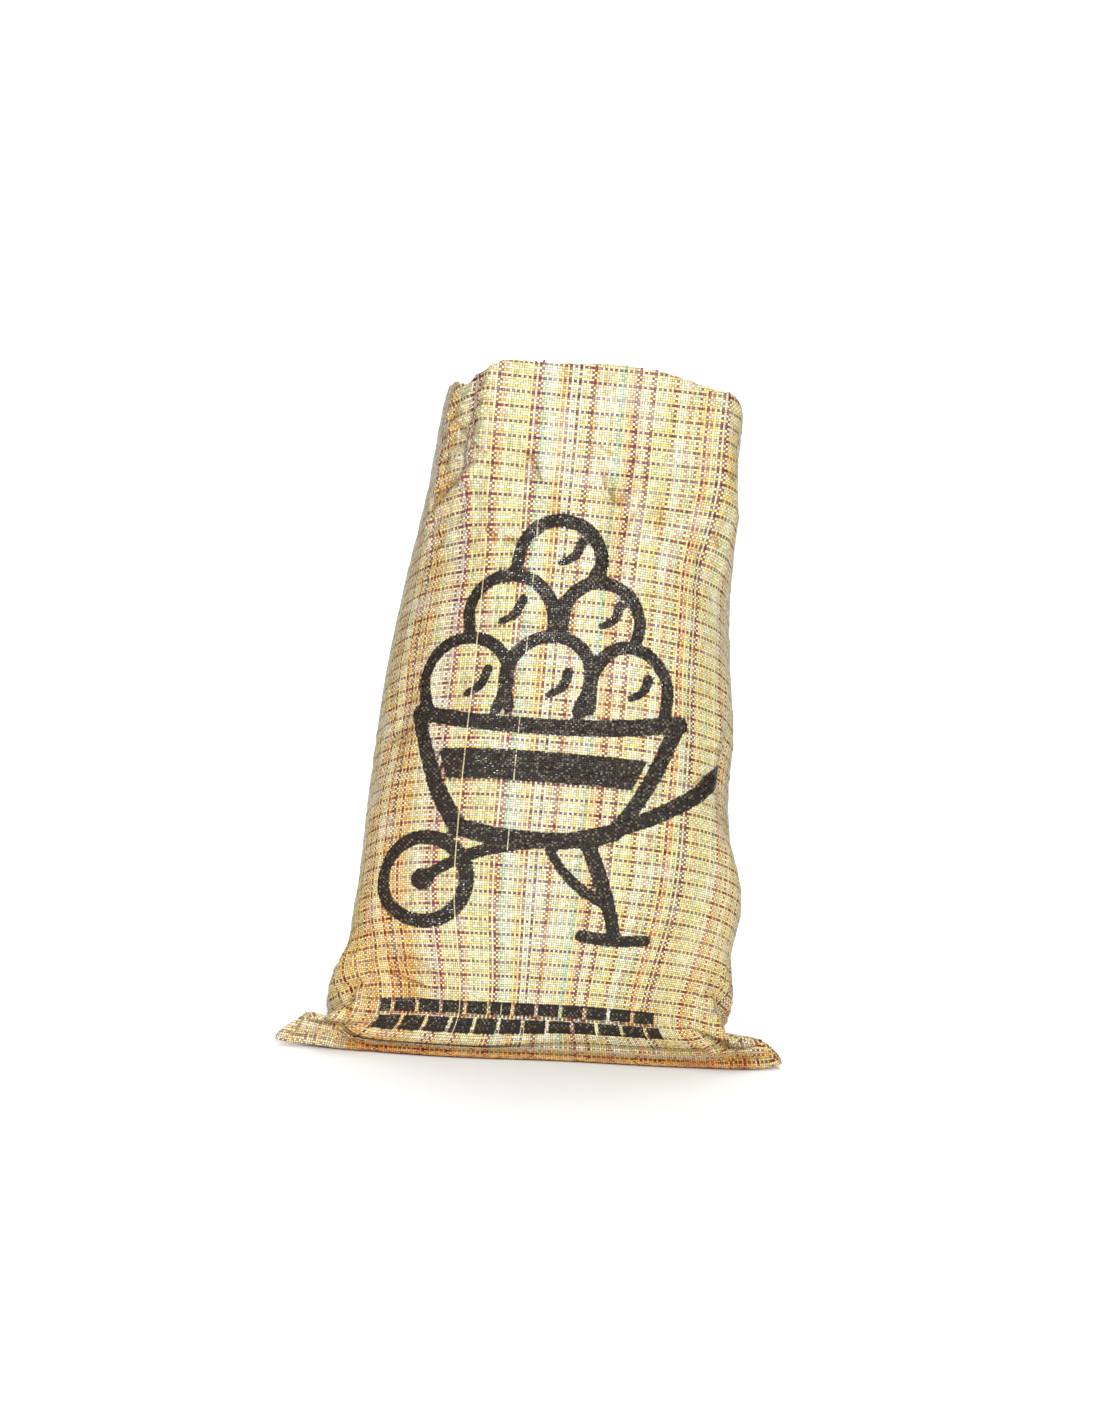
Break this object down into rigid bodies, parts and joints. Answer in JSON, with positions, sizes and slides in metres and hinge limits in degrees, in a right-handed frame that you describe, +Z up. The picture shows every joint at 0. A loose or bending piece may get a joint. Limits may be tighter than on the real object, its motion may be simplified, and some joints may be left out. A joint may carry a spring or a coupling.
{
  "type": "woven builders sack",
  "caption": "Empty woven tape builders sack standing open: a round woven tube with a raw cut mouth, a sewn and folded bottom hem and two flat corner ears.",
  "frame": {"origin": "on the ground, under the flat base of the sack, at the middle of its width", "axes": "+Z up towards the open mouth, -Y towards the printed front, +X along the bottom seam to the right as seen from the front"},
  "size_m": [0.55, 0.3163, 0.7221],
  "materials": {
    "woven_tape": "plain weave of flat glossy tapes in cream, yellow, gold, orange, green and dark red, with black ink print on the front"
  },
  "bodies": {
    "root": {"sack": "woven_tape"}
  },
  "joints": []
}
